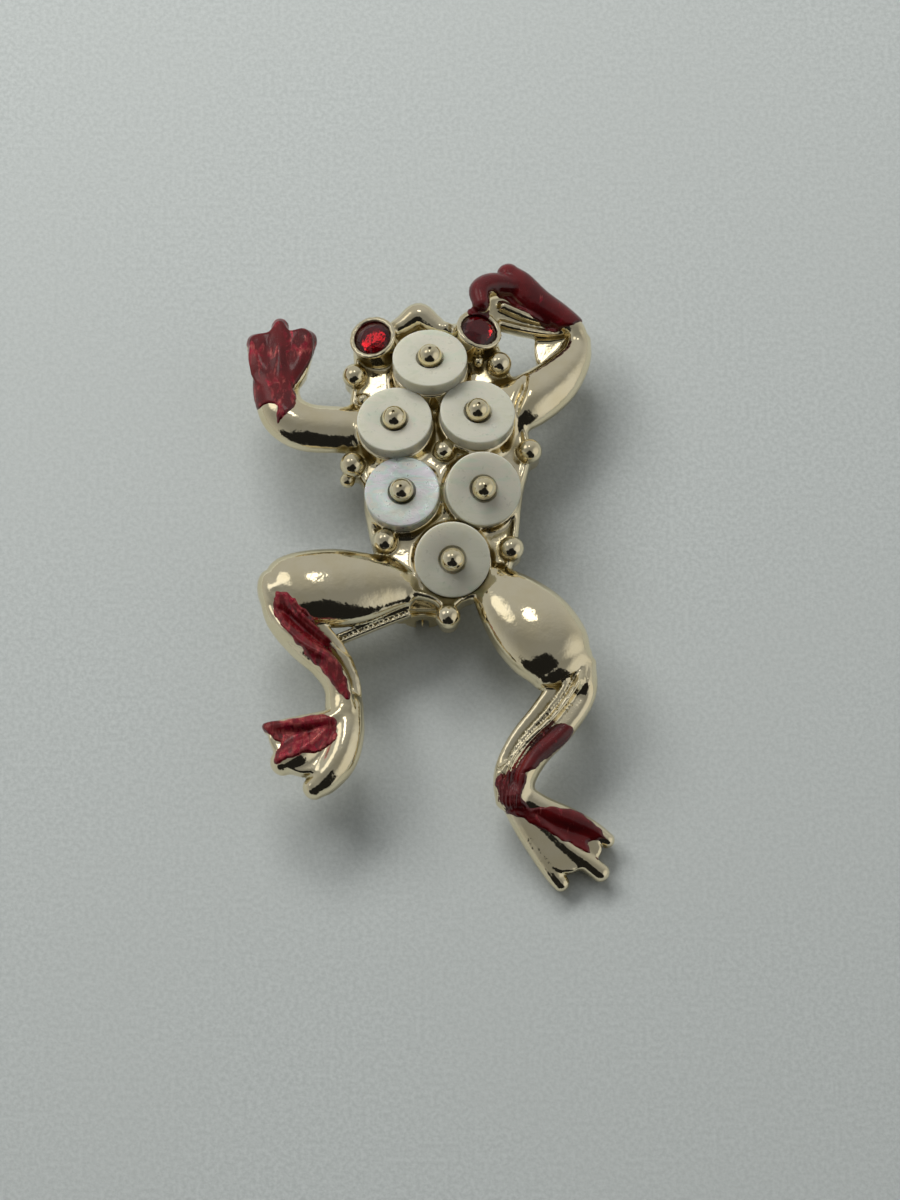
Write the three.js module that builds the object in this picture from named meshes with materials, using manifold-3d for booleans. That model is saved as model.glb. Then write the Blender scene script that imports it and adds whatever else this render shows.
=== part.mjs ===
// A frog brooch: a cast gold-tone body with mother-of-pearl discs, red stones and enamel, and a pin back.
// Millimetres. +Y runs from the tail to the head along the pin, and +Z away from the cloth it is pinned to.
// Z = 0 is the surface that the brooch lies on. "Left" and "right" are as seen from +Z with the head up.
import * as THREE from "three";
import { mergeVertices } from "three/addons/utils/BufferGeometryUtils.js";
import Module from "manifold-3d";

const wasm = await Module();
wasm.setup();

// ---------------------------------------------------------------- driving dimensions
const BACK_Z = 4.6; // height of the casting's flat back
const PLATE_TOP_Z = 6.6; // top of the body's flat rim
const DOME_TOP_Z = 8.3; // crown of the dome between the discs
const DOME_RADIUS = 29;
const DOME_CENTRE = [0.6, 9.8];
const CENTRE_SHIFT = [0.29, 1.42, -0.11]; // puts the origin under the middle of the whole brooch

const DISC = { radius: 3.87, thickness: 1.5, edge: 0.18, holeTop: 1.55, holeLow: 0.85, dish: 1.0 };
const SEAT_RADIUS = 3.3;
const DISC_CLEARANCE = 0.15;
const SEAT_GAP = 0.03;

const STUD = { ball: 1.25, lift: 0.25, shank: 0.55, sunk: 1.5 };
const BORE_CLEARANCE = 0.05;

const BEAD = 1.3;
const STONE = { radius: 1.9, table: 1.05, crown: 0.6, girdle: 0.15, pavilion: 1.3, facets: 12 };
const CUP = { outer: 2.42, below: 4, rim: 0.3 };

const ENAMEL_THICKNESS = 0.26;
const ENAMEL_GAP = 0.04;

const PIN_X = -1.05; // the pin's own line, parallel to Y
const PIN_Z = 2.1; // height of the pin's axis over the resting surface
const WIRE_RADIUS = 0.42;
const RIVET_Y = 21.4;
const TIP_Y = -6.7;
const POINT_LENGTH = 4;
const CATCH_Y = -4.6;

// ---------------------------------------------------------------- solids and booleans
function solidOf(geometry) {
  const bare = geometry.clone();
  bare.deleteAttribute("normal");
  bare.deleteAttribute("uv");
  const merged = mergeVertices(bare, 1e-4);
  return new wasm.Manifold(
    new wasm.Mesh({
      numProp: 3,
      vertProperties: merged.attributes.position.array,
      triVerts: new Uint32Array(merged.index.array),
    }),
  );
}

function geometryOf(solid) {
  const mesh = solid.getMesh();
  const geometry = new THREE.BufferGeometry();
  geometry.setAttribute("position", new THREE.BufferAttribute(mesh.vertProperties, 3));
  geometry.setIndex(new THREE.BufferAttribute(mesh.triVerts, 1));
  geometry.computeVertexNormals();
  return geometry;
}

function union(solids) {
  return solids.reduce((whole, part) => whole.add(part));
}

// The largest of the separate bodies that a cut leaves.
function largest(solid) {
  return solid.decompose().reduce((best, body) => (body.volume() > best.volume() ? body : best));
}

// A direction that leans from +Z by east degrees towards +X and by north degrees towards +Y.
function leaning(east, north) {
  const rad = THREE.MathUtils.degToRad;
  return new THREE.Vector3(Math.tan(rad(east)), Math.tan(rad(north)), 1).normalize();
}

// Stands a geometry built around +Y on a place, with its axis along a direction.
function stand(geometry, place, direction) {
  const turn = new THREE.Quaternion().setFromUnitVectors(new THREE.Vector3(0, 1, 0), direction);
  return geometry.clone().applyQuaternion(turn).translate(...place);
}

function lathe(profile, segments) {
  return new THREE.LatheGeometry(profile.map(([r, y]) => new THREE.Vector2(r, y)), segments);
}

function ball(place, radius) {
  return solidOf(new THREE.SphereGeometry(radius, 10, 7).translate(...place));
}

// A limb: an oval section carried along a smooth curve. Each stop is [x, y, z, half width, half height].
function limb(stops, grow = 0, sides = 10, ringsPerStop = 2) {
  const curve = new THREE.CatmullRomCurve3(stops.map(([x, y, z]) => new THREE.Vector3(x, y, z)));
  const sizes = new THREE.CatmullRomCurve3(stops.map(([, , , w, h]) => new THREE.Vector3(w, h, 0)));
  const rings = (stops.length - 1) * ringsPerStop;
  const geometry = new THREE.CylinderGeometry(1, 1, 1, sides, rings);
  const positions = geometry.attributes.position;
  const up = new THREE.Vector3(0, 0, 1);
  for (let i = 0; i < positions.count; i += 1) {
    const t = 0.5 - positions.getY(i);
    const centre = curve.getPoint(t);
    const along = curve.getTangent(t).setZ(0).normalize();
    const across = new THREE.Vector3().crossVectors(along, up);
    const size = sizes.getPoint(t);
    const point = centre
      .addScaledVector(across, -positions.getX(i) * (size.x + grow))
      .addScaledVector(up, positions.getZ(i) * (size.y + grow))
      .addScaledVector(along, Math.sign(t - 0.5) * (t === 0 || t === 1 ? grow : 0));
    positions.setXYZ(i, point.x, point.y, point.z);
  }
  return solidOf(geometry);
}

// A flat plate whose outline is a smooth closed curve through the given plan points.
function plate(outline, low, high, divisions = 2) {
  const curve = new THREE.CatmullRomCurve3(outline.map(([x, y]) => new THREE.Vector3(x, y, 0)), true);
  const shape = new THREE.Shape(
    curve.getPoints(outline.length * divisions).slice(0, -1).map((p) => new THREE.Vector2(p.x, p.y)),
  );
  const geometry = new THREE.ExtrudeGeometry(shape, { depth: high - low, bevelEnabled: false });
  return solidOf(geometry.translate(0, 0, low));
}

// ---------------------------------------------------------------- where things sit
// Discs: centre of the top face, and how far the face leans east and north, in degrees.
const DISCS = [
  { at: [-0.3, 20.4, 9.95], lean: [0, 18] },
  { at: [-3.95, 13.5, 10.0], lean: [-4, 10] },
  { at: [4.65, 14.4, 9.9], lean: [5, 11] },
  { at: [-3.15, 5.75, 9.4], lean: [-5, 1] },
  { at: [5.25, 5.9, 9.75], lean: [7, -11] },
  { at: [2.05, -1.6, 9.0], lean: [0, -19] },
];

const RIM_BEADS = [
  [-8.1, 19.4, 7.3],
  [-8.3, 9.5, 7.3],
  [-4.9, 1.1, 7.2],
  [1.6, -7.0, 6.7],
  [8.1, 0.3, 7.2],
  [10.0, 11.0, 7.3],
  [6.9, 20.7, 7.5],
];
const MIDDLE_BEAD = [1.2, 10.6, 8.6];
const GRAINS = [
  [4.75, 20.9, 7.2],
  [-7.0, 17.5, 7.0],
  [-8.6, 16.4, 6.6],
];
const GRAIN = 0.62;

const EYES = {
  left: { at: [-6.2, 23.1, 8.5], lean: [-14, 6] },
  right: { at: [4.75, 24.0, 8.4], lean: [18, 15] },
};

const BODY_OUTLINE = [
  [-8.6, 18.0], [-8.9, 14.2], [-8.8, 10.1], [-7.3, 7.6], [-7.1, 4.4], [-6.4, 1.3], [-4.9, -1.9],
  [-2.6, -4.7], [1.6, -7.9], [5.6, -4.5], [8.1, -1.6], [8.9, 1.7], [9.4, 6.6], [10.4, 11.0],
  [9.6, 15.0], [8.8, 18.5], [7.6, 21.0], [6.6, 24.5], [4.6, 26.0], [1.3, 25.6], [-1.5, 27.6],
  [-4.0, 26.2], [-6.4, 26.0], [-8.4, 23.6], [-8.4, 20.6],
];

const HEAD_RIM = [
  [-4.6, 25.0, 7.1, 0.7, 0.8], [-3.0, 26.0, 7.3, 0.75, 0.9], [-1.5, 27.0, 7.5, 0.8, 1.0],
  [-0.1, 26.0, 7.4, 0.7, 0.9], [1.3, 24.9, 7.3, 0.7, 0.8], [3.2, 25.2, 7.2, 0.7, 0.8],
];

const LIMBS = {
  leftArm: [
    [
      [-6.6, 13.9, 6.3, 2.6, 1.6], [-10.0, 13.8, 6.6, 2.6, 1.75], [-13.5, 14.0, 6.9, 2.6, 1.85],
      [-15.5, 15.3, 7.0, 2.5, 1.8], [-16.1, 17.6, 7.0, 2.35, 1.55], [-15.9, 20.5, 7.0, 3.1, 1.25],
      [-15.8, 23.2, 6.8, 2.9, 0.9],
    ],
    [[-17.1, 20.0, 7.0, 0.9, 0.9], [-17.9, 22.0, 7.0, 1.25, 1.1], [-18.3, 23.4, 6.8, 0.8, 0.8]],
    [[-15.9, 20.0, 7.2, 0.9, 1.0], [-16.0, 23.0, 7.1, 1.2, 1.1], [-16.0, 25.7, 6.9, 0.75, 0.7]],
    [[-14.6, 20.0, 7.0, 0.9, 0.9], [-13.9, 22.0, 7.0, 1.25, 1.1], [-13.4, 24.2, 6.8, 0.8, 0.8]],
  ],
  rightArm: [
    [
      [6.9, 15.9, 6.3, 3.0, 1.6], [9.9, 17.3, 6.2, 2.9, 1.8], [12.4, 19.7, 5.6, 2.4, 1.7],
      [14.3, 22.4, 5.0, 1.7, 1.5], [14.9, 24.8, 4.8, 1.3, 1.3],
    ],
    [
      [14.9, 24.1, 4.8, 1.3, 1.3], [13.7, 26.1, 5.3, 1.2, 1.3], [11.5, 27.5, 6.1, 1.2, 1.2],
      [9.6, 29.0, 6.9, 1.25, 1.15], [7.8, 31.1, 7.3, 0.85, 0.8],
    ],
    [
      [12.2, 26.7, 5.8, 0.9, 0.9], [9.0, 27.6, 6.9, 1.4, 0.9], [6.2, 28.6, 7.9, 1.1, 1.0],
      [5.1, 28.0, 8.6, 0.8, 0.85],
    ],
    [
      [14.2, 24.9, 4.9, 0.8, 0.9], [11.7, 24.9, 5.6, 0.8, 0.8], [9.3, 25.0, 6.5, 0.9, 0.8],
      [7.4, 25.1, 7.0, 0.8, 0.7],
    ],
  ],
  leftThigh: [
    [
      [-2.6, -3.9, 5.9, 2.0, 1.3], [-5.6, -3.7, 6.3, 3.3, 1.7], [-8.6, -3.9, 6.6, 4.0, 2.1],
      [-11.6, -3.9, 6.8, 4.0, 2.3], [-14.6, -4.0, 6.7, 3.5, 2.1], [-17.0, -4.4, 6.5, 2.0, 1.3],
    ],
  ],
  leftShin: [
    [
      [-15.6, -3.6, 6.4, 2.2, 1.8], [-14.8, -6.6, 6.4, 2.5, 1.9], [-12.8, -9.2, 6.3, 2.4, 1.8],
      [-10.5, -11.6, 6.2, 2.1, 1.7], [-9.2, -14.2, 6.1, 1.85, 1.6], [-9.1, -17.0, 6.0, 1.9, 1.5],
      [-9.6, -19.2, 6.0, 2.0, 1.3],
    ],
  ],
  leftFoot: [
    [[-8.9, -17.2, 6.1, 1.7, 1.2], [-11.6, -18.4, 6.3, 1.6, 1.2], [-14.4, -18.8, 6.4, 1.2, 1.0],
      [-17.0, -18.9, 6.3, 0.8, 0.7]],
    [[-9.2, -18.4, 6.0, 1.5, 1.2], [-11.6, -20.0, 6.1, 1.6, 1.2], [-14.0, -21.0, 6.1, 1.4, 1.1],
      [-16.2, -22.0, 5.9, 0.9, 0.8]],
    [[-9.2, -17.0, 6.0, 1.8, 1.3], [-8.9, -20.0, 5.9, 1.9, 1.5], [-9.6, -22.6, 5.8, 1.8, 1.5],
      [-11.0, -24.4, 5.6, 1.5, 1.3], [-12.2, -25.5, 5.4, 0.9, 0.9]],
  ],
  rightThigh: [
    [
      [5.6, -3.1, 6.0, 2.2, 1.3], [7.8, -5.2, 6.3, 3.5, 1.9], [10.1, -7.7, 6.4, 4.3, 2.3],
      [12.2, -10.2, 6.2, 4.2, 2.3], [13.9, -12.6, 5.8, 3.1, 2.0], [15.0, -14.3, 5.4, 1.6, 1.2],
    ],
  ],
  rightShin: [
    [
      [14.6, -12.6, 5.4, 1.8, 1.7], [14.0, -15.2, 5.1, 2.4, 1.9], [12.0, -18.0, 4.7, 2.4, 1.9],
      [9.7, -20.6, 4.3, 2.3, 1.8], [8.4, -23.2, 3.8, 2.2, 1.7], [8.5, -25.8, 3.1, 2.1, 1.5],
    ],
  ],
  rightFoot: [
    [[8.6, -25.0, 3.1, 1.6, 1.3], [11.0, -26.6, 2.7, 1.6, 1.2], [13.8, -27.8, 2.2, 1.6, 1.1],
      [16.2, -28.4, 1.8, 1.4, 1.0], [18.2, -29.4, 1.4, 0.9, 0.8]],
    [[8.3, -25.4, 2.9, 1.4, 1.1], [10.8, -28.0, 2.3, 1.6, 1.1], [13.4, -30.0, 1.8, 1.5, 1.0],
      [15.6, -31.6, 1.5, 1.3, 0.95], [17.3, -32.8, 1.3, 0.9, 0.8]],
    [[7.9, -25.4, 2.9, 1.3, 1.1], [9.3, -28.2, 2.2, 1.4, 1.0], [10.8, -30.6, 1.7, 1.3, 0.95],
      [12.2, -32.6, 1.4, 1.2, 0.9], [13.3, -34.0, 1.2, 0.8, 0.75]],
  ],
};

// Plan outlines of the enamel, the limbs that it lies on, and the height that its skin starts at.
const ENAMEL = {
  enamel_left_hand: {
    limbs: ["leftArm"],
    from: 6.5,
    outline: [
      [-18.6, 22.6], [-18.2, 18.6], [-17.8, 16.6], [-15.8, 16.6], [-15.4, 15.0], [-14.6, 16.4],
      [-13.6, 18.7], [-12.4, 22.6], [-13.4, 24.4], [-15.1, 24.0], [-15.9, 25.6], [-16.7, 24.0],
    ],
  },
  enamel_right_hand: {
    limbs: ["rightArm"],
    from: 5.6,
    outline: [
      [14.4, 25.4], [12.2, 26.5], [10.2, 27.5], [8.0, 29.1], [6.6, 27.6], [5.2, 27.9], [4.9, 29.4],
      [6.4, 30.2], [7.6, 31.7], [9.8, 30.4], [11.8, 28.9], [14.6, 27.7],
    ],
  },
  enamel_left_shin: {
    limbs: ["leftShin", "leftThigh"],
    from: 6.6,
    outline: [
      [-16.2, -5.0], [-15.2, -8.2], [-12.8, -11.0], [-10.4, -12.6], [-9.0, -12.2], [-10.4, -9.6],
      [-12.6, -7.6], [-14.6, -5.0],
    ],
  },
  enamel_left_foot: {
    limbs: ["leftFoot"],
    from: 6.2,
    outline: [
      [-16.6, -18.6], [-13.0, -18.2], [-10.0, -17.4], [-9.4, -19.4], [-11.6, -20.6], [-14.4, -21.4],
      [-16.0, -20.6],
    ],
  },
  enamel_right_shin: {
    limbs: ["rightShin"],
    from: 4.6,
    outline: [
      [14.6, -16.0], [12.8, -18.6], [10.6, -20.8], [8.6, -22.2], [9.2, -20.4], [10.9, -18.2],
      [12.8, -16.2],
    ],
  },
  enamel_right_foot: {
    limbs: ["rightShin", "rightFoot"],
    from: 2.2,
    outline: [
      [7.0, -22.8], [9.4, -22.8], [9.8, -25.0], [12.4, -26.0], [15.2, -27.4], [17.0, -28.8],
      [16.4, -30.4], [13.6, -29.6], [10.6, -27.6], [8.2, -26.4], [6.9, -25.0],
    ],
  },
};

// ---------------------------------------------------------------- materials
function finish(color, roughness, metalness) {
  return new THREE.MeshStandardMaterial({ color, roughness, metalness });
}
const gold = finish(0xd8c79a, 0.16, 1);
const findings = finish(0xcfc4a2, 0.25, 1);
const pearl = finish(0xe9e6da, 0.3, 0);
const ruby = finish(0x6d0a20, 0.05, 0);
const enamelRed = finish(0x9c1024, 0.12, 0.1);

const frog = new THREE.Group();
frog.position.set(...CENTRE_SHIFT);

function addPiece(name, geometry, material) {
  const mesh = new THREE.Mesh(geometry, material);
  mesh.name = name;
  frog.add(mesh);
}

// ---------------------------------------------------------------- mother-of-pearl discs and their studs
// Both are built around +Y, with Y = 0 on the disc's top face.
function discGeometry() {
  const { radius, thickness, edge, holeTop, holeLow, dish } = DISC;
  return lathe(
    [
      [holeLow, -thickness], [radius, -thickness], [radius, -edge], [radius - edge, 0],
      [holeTop, 0], [holeLow, -dish], [holeLow, -thickness],
    ],
    24,
  );
}

function studGeometry() {
  const { ball: r, lift, shank, sunk } = STUD;
  const neck = lift - Math.sqrt(r * r - shank * shank);
  const profile = [[0, -DISC.thickness - sunk], [shank, -DISC.thickness - sunk], [shank, neck]];
  const low = Math.acos(-(neck - lift) / r);
  const stops = 5;
  for (let i = 1; i < stops; i += 1) {
    const angle = low + ((Math.PI - low) * i) / stops;
    profile.push([r * Math.sin(angle), lift - r * Math.cos(angle)]);
  }
  profile.push([0, lift + r]);
  return lathe(profile, 10);
}

const discShape = discGeometry();
const studShape = studGeometry();
DISCS.forEach(({ at, lean }, i) => {
  addPiece(`pearl_disc_${i + 1}`, stand(discShape, at, leaning(...lean)), pearl);
  addPiece(`disc_stud_${i + 1}`, stand(studShape, at, leaning(...lean)), gold);
});

// What the casting leaves free at each disc: the disc and all above it, and the stud's blind hole.
function discRoom({ at, lean }) {
  const radius = DISC.radius + DISC_CLEARANCE;
  const floor = -DISC.thickness - SEAT_GAP;
  const room = new THREE.CylinderGeometry(radius, radius, 6, 24).translate(0, floor + 3, 0);
  const bore = STUD.shank + BORE_CLEARANCE;
  const depth = STUD.sunk + BORE_CLEARANCE + 1;
  const hole = new THREE.CylinderGeometry(bore, bore, depth, 8);
  hole.translate(0, floor + 1 - depth / 2, 0);
  const direction = leaning(...lean);
  return solidOf(stand(room, at, direction)).add(solidOf(stand(hole, at, direction)));
}

// The cast pad that carries a disc.
function seat({ at, lean }) {
  const height = 3;
  const pad = new THREE.CylinderGeometry(SEAT_RADIUS, SEAT_RADIUS + 0.4, height, 16);
  pad.translate(0, -DISC.thickness - height / 2, 0);
  return solidOf(stand(pad, at, leaning(...lean)));
}

// ---------------------------------------------------------------- eyes
function stoneGeometry() {
  const { radius, table, crown, girdle, pavilion, facets } = STONE;
  return lathe([[0, -pavilion], [radius, 0], [radius, girdle], [table, girdle + crown], [0, girdle + crown]], facets);
}

function cup({ at, lean }) {
  const { outer, below, rim } = CUP;
  const wall = lathe([[0, -below], [outer - 0.3, -below], [outer, rim], [0, rim]], 16);
  return solidOf(stand(wall, at, leaning(...lean)));
}

function stonePocket({ at, lean }) {
  const gap = 0.06;
  const { radius, pavilion } = STONE;
  const pocket = lathe(
    [[0, -pavilion - gap], [radius + gap, -gap], [radius + gap, 4], [0, 4]],
    STONE.facets,
  );
  return solidOf(stand(pocket, at, leaning(...lean)));
}

for (const [side, eye] of Object.entries(EYES)) {
  addPiece(`eye_stone_${side}`, stand(stoneGeometry(), eye.at, leaning(...eye.lean)), ruby);
}

// ---------------------------------------------------------------- the casting
function limbGroup(names, grow = 0) {
  const strands = names.flatMap((name) => LIMBS[name]);
  return union(strands.map((stops) => limb(stops, grow, stops.length > 4 ? 10 : 8)));
}

// The hand's web between the right arm's upper finger and lower finger.
const RIGHT_PALM = [[13.6, 24.9], [12.0, 26.6], [9.6, 28.2], [6.4, 28.2], [6.6, 26.4], [9.0, 25.0]];
// The thin flange under the left thigh.
const THIGH_FLANGE = [
  [-2.6, -6.0, 5.3, 0.45, 0.6], [-6.0, -7.4, 5.3, 0.45, 0.6], [-9.8, -8.9, 5.3, 0.45, 0.6],
];

function castingSolid() {
  const dome = solidOf(
    new THREE.SphereGeometry(DOME_RADIUS, 40, 36).translate(...DOME_CENTRE, DOME_TOP_Z - DOME_RADIUS),
  );
  const block = plate(BODY_OUTLINE, BACK_Z, DOME_TOP_Z + 1);
  const body = plate(BODY_OUTLINE, BACK_Z, PLATE_TOP_Z).add(block.intersect(dome));
  const seats = union(DISCS.map(seat)).intersect(block);
  const beads = [...RIM_BEADS, MIDDLE_BEAD].map((place) => ball(place, BEAD));
  const grains = GRAINS.map((place) => ball(place, GRAIN));
  const necks = RIM_BEADS.map(([x, y, z]) => {
    const post = new THREE.CylinderGeometry(BEAD * 0.9, BEAD, z - BACK_Z, 10).rotateX(Math.PI / 2);
    return solidOf(post.translate(x, y, (z + BACK_Z) / 2));
  });
  const cups = Object.values(EYES).map(cup);
  const palm = plate(RIGHT_PALM, 6.1, 6.9, 2);
  const limbs = [limbGroup(Object.keys(LIMBS)), limb(HEAD_RIM, 0, 8), limb(THIGH_FLANGE, 0, 8), palm];
  const raw = union([body, seats, ...beads, ...grains, ...necks, ...cups, ...limbs]);
  const free = union([...DISCS.map(discRoom), ...Object.values(EYES).map(stonePocket)]);
  const under = new THREE.BoxGeometry(30, 40, 4).translate(0, 10, BACK_Z - 2);
  const behindBody = solidOf(under).intersect(plate(BODY_OUTLINE, 0, BACK_Z));
  return raw.subtract(free).subtract(behindBody);
}
const casting = largest(castingSolid());
addPiece("frog_casting", geometryOf(casting), gold);

// ---------------------------------------------------------------- enamel skins on the casting
for (const [name, { limbs, from, outline }] of Object.entries(ENAMEL)) {
  const area = plate(outline, from, 12, 1);
  const skin = limbGroup(limbs, ENAMEL_THICKNESS + ENAMEL_GAP).intersect(area);
  const room = limbGroup(limbs, ENAMEL_GAP).add(casting);
  addPiece(name, geometryOf(largest(skin.subtract(room))), enamelRed);
}

// ---------------------------------------------------------------- pin back: joint, rivet and pin
const SOLDER_GAP = 0.02;
const JOINT = { width: 3.6, length: 3.2, wall: 0.5, low: 0.9 };
const RIVET = { radius: 0.38, head: 0.62, headLength: 0.25, gap: 0.04 };
const EYE = { outer: 0.95, inner: 0.46, width: 2.2 };

function cylinderAlong(axis, radius, length, sides, place) {
  const rod = new THREE.CylinderGeometry(radius, radius, length, sides);
  if (axis === "x") rod.rotateZ(Math.PI / 2);
  return solidOf(rod.translate(...place));
}

function boxAt(size, place) {
  return solidOf(new THREE.BoxGeometry(...size).translate(...place));
}

const RIVET_PLACE = [PIN_X, RIVET_Y, PIN_Z];

// A folded channel, open downwards and along the pin, with the rivet's hole through both cheeks.
function jointSolid() {
  const { width, length, wall, low } = JOINT;
  const top = BACK_Z - SOLDER_GAP;
  const block = boxAt([width, length, top - low], [PIN_X, RIVET_Y, (top + low) / 2]);
  const inside = boxAt([width - 2 * wall, length + 1, top - low], [PIN_X, RIVET_Y, (top + low) / 2 - wall]);
  const hole = cylinderAlong("x", RIVET.radius + RIVET.gap, width + 1, 16, RIVET_PLACE);
  return block.subtract(inside).subtract(hole);
}

function rivetGeometry() {
  const { radius, head, headLength, gap } = RIVET;
  const face = JOINT.width / 2 + gap;
  const end = face + headLength;
  const profile = [[0, -end], [head, -end], [head, -face], [radius, -face]];
  profile.push([radius, face], [head, face], [head, end], [0, end]);
  return lathe(profile, 16).rotateZ(Math.PI / 2).translate(...RIVET_PLACE);
}

function pinSolid() {
  const { outer, inner, width } = EYE;
  const shaftEnd = RIVET_Y - inner - 0.2;
  const profile = [[0, TIP_Y], [WIRE_RADIUS, TIP_Y + POINT_LENGTH], [WIRE_RADIUS, shaftEnd], [0, shaftEnd]];
  const shaft = solidOf(lathe(profile, 12).translate(PIN_X, 0, PIN_Z));
  const ring = cylinderAlong("x", outer, width, 20, RIVET_PLACE);
  return shaft.add(ring).subtract(cylinderAlong("x", inner, width + 1, 16, RIVET_PLACE));
}

addPiece("pin_joint", geometryOf(jointSolid()), findings);
addPiece("joint_rivet", rivetGeometry(), findings);
addPiece("pin_stem", geometryOf(pinSolid()), findings);

// ---------------------------------------------------------------- pin back: safety catch
const CATCH = { outer: 2.1, inner: 1.5, length: 1.8, slot: 1.3, foot: 3.0 };
const ROTOR = { outer: 1.42, inner: 0.62, flange: 1.9, flangeLength: 0.35, gap: 0.06, tabReach: 2.85, tabWidth: 1.2 };

function slotBox(width, length) {
  return boxAt([width, length, 4], [PIN_X, CATCH_Y, PIN_Z - 2]);
}

// A C-shaped ring on a foot, its mouth facing away from the back.
function catchSolid() {
  const { outer, inner, length, slot, foot } = CATCH;
  const place = [PIN_X, CATCH_Y, PIN_Z];
  const top = BACK_Z - SOLDER_GAP;
  const ring = cylinderAlong("y", outer, length, 32, place);
  const base = boxAt([foot, length, top - PIN_Z], [PIN_X, CATCH_Y, (top + PIN_Z) / 2]);
  const bore = cylinderAlong("y", inner, length + 1, 24, place);
  return ring.add(base).subtract(bore).subtract(slotBox(slot, length + 1));
}

// A slotted barrel with a flange at each end and a thumb tab; its slot lines up with the catch's mouth.
function rotorSolid() {
  const { outer, inner, flange, flangeLength, gap, tabReach, tabWidth } = ROTOR;
  const face = CATCH.length / 2 + gap;
  const whole = 2 * (face + flangeLength);
  const barrel = cylinderAlong("y", outer, whole, 24, [PIN_X, CATCH_Y, PIN_Z]);
  const flangeY = face + flangeLength / 2;
  const flanges = [-flangeY, flangeY].map((offset) =>
    cylinderAlong("y", flange, flangeLength, 24, [PIN_X, CATCH_Y + offset, PIN_Z]),
  );
  const tabLength = tabReach - tabWidth / 2;
  const tab = boxAt([tabLength, flangeLength, tabWidth], [PIN_X - tabLength / 2, CATCH_Y - flangeY, PIN_Z]);
  const tip = cylinderAlong("y", tabWidth / 2, flangeLength, 16, [PIN_X - tabLength, CATCH_Y - flangeY, PIN_Z]);
  const bore = cylinderAlong("y", inner, whole + 1, 16, [PIN_X, CATCH_Y, PIN_Z]);
  return union([barrel, ...flanges, tab, tip]).subtract(bore).subtract(slotBox(CATCH.slot, whole + 1));
}

addPiece("catch_base", geometryOf(catchSolid()), findings);
addPiece("catch_rotor", geometryOf(rotorSolid()), findings);

export default frog;
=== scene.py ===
import math

import bmesh
import bpy
import numpy as np
import openvdb
from mathutils import Matrix, Vector


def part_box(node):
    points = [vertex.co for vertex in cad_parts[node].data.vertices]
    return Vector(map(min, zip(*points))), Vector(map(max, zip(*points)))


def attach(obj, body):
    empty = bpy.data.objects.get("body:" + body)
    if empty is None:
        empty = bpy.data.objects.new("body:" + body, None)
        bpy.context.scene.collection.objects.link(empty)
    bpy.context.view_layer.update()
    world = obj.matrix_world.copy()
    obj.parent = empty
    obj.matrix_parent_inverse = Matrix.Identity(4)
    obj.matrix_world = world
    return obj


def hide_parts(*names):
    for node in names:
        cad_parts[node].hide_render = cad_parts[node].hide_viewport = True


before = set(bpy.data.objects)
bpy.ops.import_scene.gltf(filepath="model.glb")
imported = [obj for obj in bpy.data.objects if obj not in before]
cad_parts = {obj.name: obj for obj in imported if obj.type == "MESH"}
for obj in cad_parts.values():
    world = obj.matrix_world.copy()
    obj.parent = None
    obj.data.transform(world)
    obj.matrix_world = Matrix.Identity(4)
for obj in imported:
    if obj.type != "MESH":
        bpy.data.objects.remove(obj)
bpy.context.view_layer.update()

# Shapes are worked out in millimetres, in the brooch's own design frame. SHIFT carries that frame to the CAD's.
MM = 0.001
RIVET_DESIGN = np.array([-1.05, 21.4, 2.1])
rivet_low, rivet_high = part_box("joint_rivet")
SHIFT = (np.array(rivet_low) + np.array(rivet_high)) / 2 / MM - RIVET_DESIGN
BACK_Z = 4.6  # flat back of the casting
RIM_Z = 6.6  # top of the body's rim
VOXEL = 0.22
FINE_VOXEL = 0.11


# ---------------------------------------------------------------- camera
def make_camera():
    """Looks at the brooch from its tail side, 20 degrees off the vertical."""
    elevation = math.radians(70)
    target = Vector(np.array([1.79, -2.76, 0.11]) + SHIFT) * MM
    distance = 0.5
    back = Vector((0, -math.cos(elevation), math.sin(elevation)))
    data = bpy.data.cameras.new("camera")
    data.sensor_width = 36
    data.lens = data.sensor_width * distance / 0.1246
    data.clip_start = 0.01
    data.clip_end = 10
    camera = bpy.data.objects.new("camera", data)
    camera.location = target + back * distance
    camera.rotation_mode = "QUATERNION"
    camera.rotation_quaternion = (-back).to_track_quat("-Z", "Y")
    bpy.context.scene.collection.objects.link(camera)
    bpy.context.scene.camera = camera


make_camera()


# ---------------------------------------------------------------- places read from the CAD
def cad_points(node):
    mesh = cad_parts[node].data
    flat = np.empty(len(mesh.vertices) * 3)
    mesh.vertices.foreach_get("co", flat)
    points = flat.reshape(-1, 3) / MM - SHIFT
    return np.unique(np.round(points, 3), axis=0)


def round_piece(node):
    """The centre of a flat round piece's top face, and its axis, in the design frame."""
    points = cad_points(node)
    middle = points.mean(axis=0)
    axis = np.linalg.svd(points - middle, full_matrices=False)[2][2]
    axis *= np.sign(axis[2])
    heights = (points - middle) @ axis
    return middle + axis * heights.max(), axis


DISC_PLACES = [round_piece(f"pearl_disc_{i}") for i in range(1, 7)]
STONE_PLACES = {side: round_piece(f"eye_stone_{side}") for side in ("left", "right")}
DISC_RADIUS = 3.87
DISC_THICKNESS = 1.5
STONE_RADIUS = 1.9
STONE_TOP = 0.75  # height of a stone's table over its girdle


# ---------------------------------------------------------------- distance fields
def soft_min(a, b, k):
    h = np.clip(0.5 + 0.5 * (b - a) / k, 0, 1)
    return b + (a - b) * h - k * h * (1 - h)


def soft_max(a, b, k):
    return -soft_min(-a, -b, k)


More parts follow.
